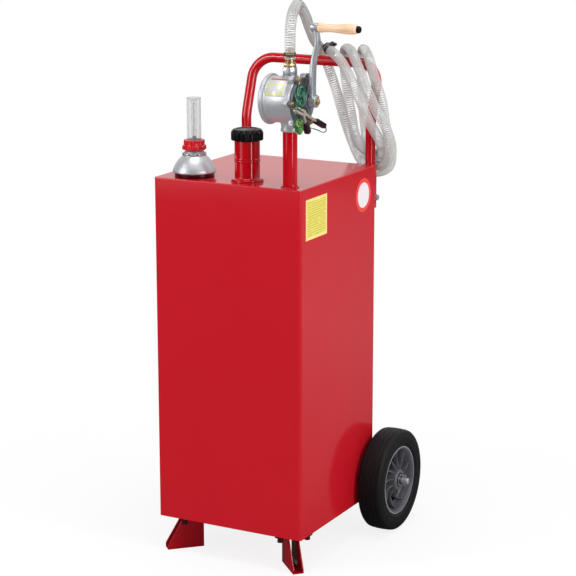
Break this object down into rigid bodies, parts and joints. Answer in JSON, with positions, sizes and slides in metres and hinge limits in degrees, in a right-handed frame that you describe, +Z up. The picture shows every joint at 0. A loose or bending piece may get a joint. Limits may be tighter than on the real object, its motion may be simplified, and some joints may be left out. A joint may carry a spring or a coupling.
{
  "type": "fuel caddy",
  "caption": "Tall red portable fuel caddy with a filler cap, float gauge, rotary hand pump with wooden-grip crank, looped clear hose, push handle and rear wheels.",
  "frame": {"origin": "centre of the tank's underside", "axes": "+X to the right seen from the front (the pump's side), +Y to the back where the handle and the wheels are, +Z up"},
  "size_m": [0.6221, 0.5779, 1.3602],
  "materials": {
    "red_paint": "gloss",
    "cast_silver": "satin",
    "cast_dark": "satin",
    "steel": "satin",
    "brass": "satin",
    "black_plastic": "satin",
    "red_plastic": "gloss",
    "grey_plastic": "matte",
    "satin_head": "satin",
    "clear_plastic": "clear",
    "clear_hose": "clear with a wire helix",
    "rubber": "matte",
    "tyre": "matte",
    "wood": "varnished",
    "wire_green": "satin"
  },
  "bodies": {
    "caddy": {"tank_wrap": "red_paint", "tank_top_pan": "red_paint", "tank_bottom_pan": "red_paint", "foot_left": "red_paint", "foot_right": "red_paint", "filler_neck": "red_paint", "neck_collar": "red_paint", "gauge_ring": "red_paint", "gauge_head": "satin_head", "gauge_nut": "red_plastic", "sight_tube": "clear_plastic", "gauge_stem": "steel", "float_pivot_pin": "steel", "riser_pipe": "red_paint", "suction_tube": "clear_plastic", "suction_strainer": "black_plastic", "pump_housing": "cast_silver", "pump_rear_cover": "cast_silver", "cover_gasket": "rubber", "pump_front_cover": "cast_dark", "shaft_bush": "brass", "outlet_adapter": "cast_silver", "hose_barb": "brass", "pump_hose_clip": "steel", "hose": "clear_hose", "hose_end_spout": "black_plastic", "end_hose_clip": "steel", "ground_wire": "wire_green", "clamp_long_lever": "steel", "clamp_pin": "steel", "handle_tube": "red_paint", "handle_socket_left": "red_paint", "handle_socket_right": "red_paint", "handle_bolt_left": "steel", "handle_bolt_right": "steel", "axle_carrier": "red_paint", "axle": "steel"},
    "crank": {"crank_arm": "cast_silver", "crank_bolt": "brass", "pump_shaft": "steel", "pump_rotor": "cast_silver", "vane_upper": "black_plastic", "vane_lower": "black_plastic", "grip_pin": "steel", "grip_end_cap": "black_plastic"},
    "grip": {"wooden_grip": "wood"},
    "cap_lifter": {"cap_seal": "rubber"},
    "cap": {"filler_cap": "black_plastic"},
    "float": {"float_arm": "brass", "gauge_float": "black_plastic"},
    "indicator": {"indicator_rod": "black_plastic"},
    "clamp_lever": {"clamp_short_lever": "steel"},
    "wheel_left": {"tyre_left": "tyre", "rim_left": "grey_plastic", "wheel_bush_left": "black_plastic"},
    "wheel_right": {"tyre_right": "tyre", "rim_right": "grey_plastic", "wheel_bush_right": "black_plastic"}
  },
  "joints": [
    {"name": "wheel_left_spin", "type": "hinge", "parent": "caddy", "child": "wheel_left", "pos_m": [-0.238, 0.2125, 0.042], "axis": [1, 0, 0], "continuous": true},
    {"name": "wheel_right_spin", "type": "hinge", "parent": "caddy", "child": "wheel_right", "pos_m": [0.238, 0.2125, 0.042], "axis": [1, 0, 0], "continuous": true},
    {"name": "crank_spin", "type": "hinge", "parent": "caddy", "child": "crank", "pos_m": [0.15, -0.1685, 1.053], "axis": [1, 0, 0], "continuous": true},
    {"name": "grip_spin", "type": "hinge", "parent": "crank", "child": "grip", "pos_m": [0.275, -0.1685, 1.221], "axis": [1, 0, 0], "continuous": true},
    {"name": "cap_lift", "type": "slide", "parent": "caddy", "child": "cap_lifter", "axis": [0, 0, 1], "range_m": [0, 0.07]},
    {"name": "cap_turn", "type": "hinge", "parent": "cap_lifter", "child": "cap", "pos_m": [0.028, -0.1445, 0.955], "axis": [0, 0, 1], "range_deg": [0, 540]},
    {"name": "float_swing", "type": "hinge", "parent": "caddy", "child": "float", "pos_m": [-0.171, -0.1395, 0.455], "axis": [0, -1, 0], "range_deg": [0, 70]},
    {"name": "indicator_slide", "type": "slide", "parent": "caddy", "child": "indicator", "axis": [0, 0, 1], "range_m": [0, 0.073]},
    {"name": "clamp_squeeze", "type": "hinge", "parent": "caddy", "child": "clamp_lever", "pos_m": [0.198, -0.1875, 1.028], "axis": [1, 0, 0], "range_deg": [0, 18], "stiffness_Nm_per_rad": 1.5, "springref_deg": -22.92}
  ],
  "couplings": [
    {"joint": "indicator_slide", "follows": "float_swing", "m_per_rad": 0.0595}
  ]
}
